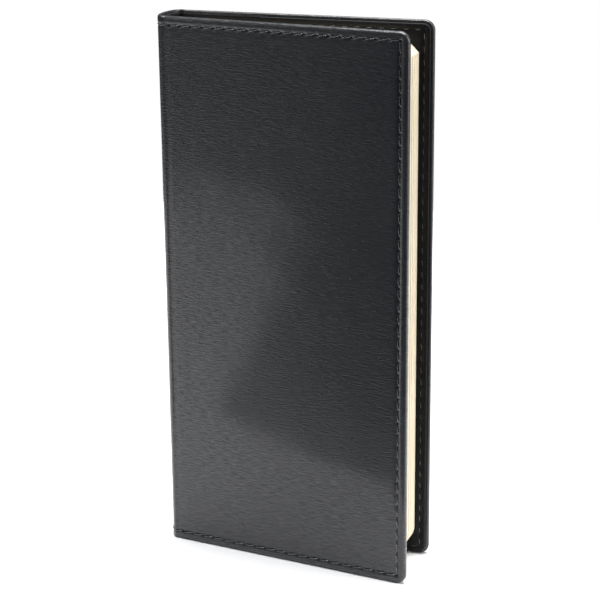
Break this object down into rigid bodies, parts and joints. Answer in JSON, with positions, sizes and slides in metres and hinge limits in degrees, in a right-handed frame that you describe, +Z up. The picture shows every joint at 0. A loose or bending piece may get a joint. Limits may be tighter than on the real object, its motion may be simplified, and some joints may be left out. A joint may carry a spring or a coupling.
{
  "type": "pilot logbook",
  "caption": "Slim pocket logbook: a sewn booklet whose card covers slide into the sleeves of a stitched, round-spined black leather cover.",
  "frame": {"origin": "centre of the bounding box's bottom face, on the surface that the tail edge stands on, at rest", "axes": "+Z up along the spine, +X from the spine to the fore edge, +Y out of the back cover"},
  "size_m": [0.0872, 0.027, 0.176],
  "materials": {
    "black_leather": "fine long grain, semi-gloss",
    "black_lining": "thin split leather, satin",
    "black_thread": "waxed",
    "grey_board": "matte",
    "booklet_card": "embossed matte",
    "cream_paper": "uncoated",
    "book_cloth": "woven",
    "open_mull": "open weave",
    "linen_thread": "waxed",
    "woven_band": "woven"
  },
  "bodies": {
    "spine": {"spine_leather": "black_leather", "spine_stiffener": "grey_board", "spine_lining": "black_lining", "spine_stitching": "black_thread", "booklet_spine_cloth": "book_cloth", "booklet_mull": "open_mull", "booklet_sewing": "linen_thread", "head_band": "woven_band", "tail_band": "woven_band"},
    "front_cover": {"front_leather": "black_leather", "front_board": "grey_board", "front_infill": "grey_board", "front_lining": "black_lining", "front_sleeve": "black_lining", "front_stitching": "black_thread", "front_card": "booklet_card"},
    "back_cover": {"back_leather": "black_leather", "back_board": "grey_board", "back_infill": "grey_board", "back_lining": "black_lining", "back_sleeve": "black_lining", "back_stitching": "black_thread", "back_card": "booklet_card"},
    "front_leaf": {"front_flyleaf": "cream_paper"},
    "back_leaf": {"back_flyleaf": "cream_paper"},
    "pages_1": {"section_1": "cream_paper"},
    "pages_2": {"section_2": "cream_paper"},
    "pages_3": {"section_3": "cream_paper"},
    "pages_4": {"section_4": "cream_paper"},
    "pages_5": {"section_5": "cream_paper"},
    "pages_6": {"section_6": "cream_paper"}
  },
  "joints": [
    {"name": "front_cover_hinge", "type": "hinge", "parent": "spine", "child": "front_cover", "pos_m": [-0.0404, -0.00258, 0.088], "axis": [0, 0, -1], "range_deg": [-7.5, 112.5]},
    {"name": "back_cover_hinge", "type": "hinge", "parent": "spine", "child": "back_cover", "pos_m": [-0.0404, 0.01354, 0.088], "axis": [0, 0, 1], "range_deg": [0, 120]},
    {"name": "front_leaf_fold", "type": "hinge", "parent": "spine", "child": "front_leaf", "pos_m": [-0.0398, 0.0009, 0.088], "axis": [0, 0, -1], "range_deg": [-3.75, 56.25]},
    {"name": "pages_1_fold", "type": "hinge", "parent": "spine", "child": "pages_1", "pos_m": [-0.0398, 0.00178, 0.088], "axis": [0, 0, -1], "range_deg": [-1.2, 18]},
    {"name": "pages_2_fold", "type": "hinge", "parent": "spine", "child": "pages_2", "pos_m": [-0.0398, 0.00326, 0.088], "axis": [0, 0, -1], "range_deg": [-0.75, 11.25]},
    {"name": "pages_3_fold", "type": "hinge", "parent": "spine", "child": "pages_3", "pos_m": [-0.0398, 0.00474, 0.088], "axis": [0, 0, -1], "range_deg": [-0.38, 5.62]},
    {"name": "pages_4_fold", "type": "hinge", "parent": "spine", "child": "pages_4", "pos_m": [-0.0398, 0.00622, 0.088], "axis": [0, 0, 1], "range_deg": [0, 6]},
    {"name": "pages_5_fold", "type": "hinge", "parent": "spine", "child": "pages_5", "pos_m": [-0.0398, 0.0077, 0.088], "axis": [0, 0, 1], "range_deg": [0, 12]},
    {"name": "pages_6_fold", "type": "hinge", "parent": "spine", "child": "pages_6", "pos_m": [-0.0398, 0.00918, 0.088], "axis": [0, 0, 1], "range_deg": [0, 19.2]},
    {"name": "back_leaf_fold", "type": "hinge", "parent": "spine", "child": "back_leaf", "pos_m": [-0.0398, 0.01006, 0.088], "axis": [0, 0, 1], "range_deg": [0, 60]}
  ],
  "couplings": [
    {"joint": "front_leaf_fold", "follows": "front_cover_hinge", "ratio": 0.5},
    {"joint": "pages_1_fold", "follows": "front_cover_hinge", "ratio": 0.16},
    {"joint": "pages_2_fold", "follows": "front_cover_hinge", "ratio": 0.1},
    {"joint": "pages_3_fold", "follows": "front_cover_hinge", "ratio": 0.05},
    {"joint": "pages_4_fold", "follows": "back_cover_hinge", "ratio": 0.05},
    {"joint": "pages_5_fold", "follows": "back_cover_hinge", "ratio": 0.1},
    {"joint": "pages_6_fold", "follows": "back_cover_hinge", "ratio": 0.16},
    {"joint": "back_leaf_fold", "follows": "back_cover_hinge", "ratio": 0.5}
  ]
}
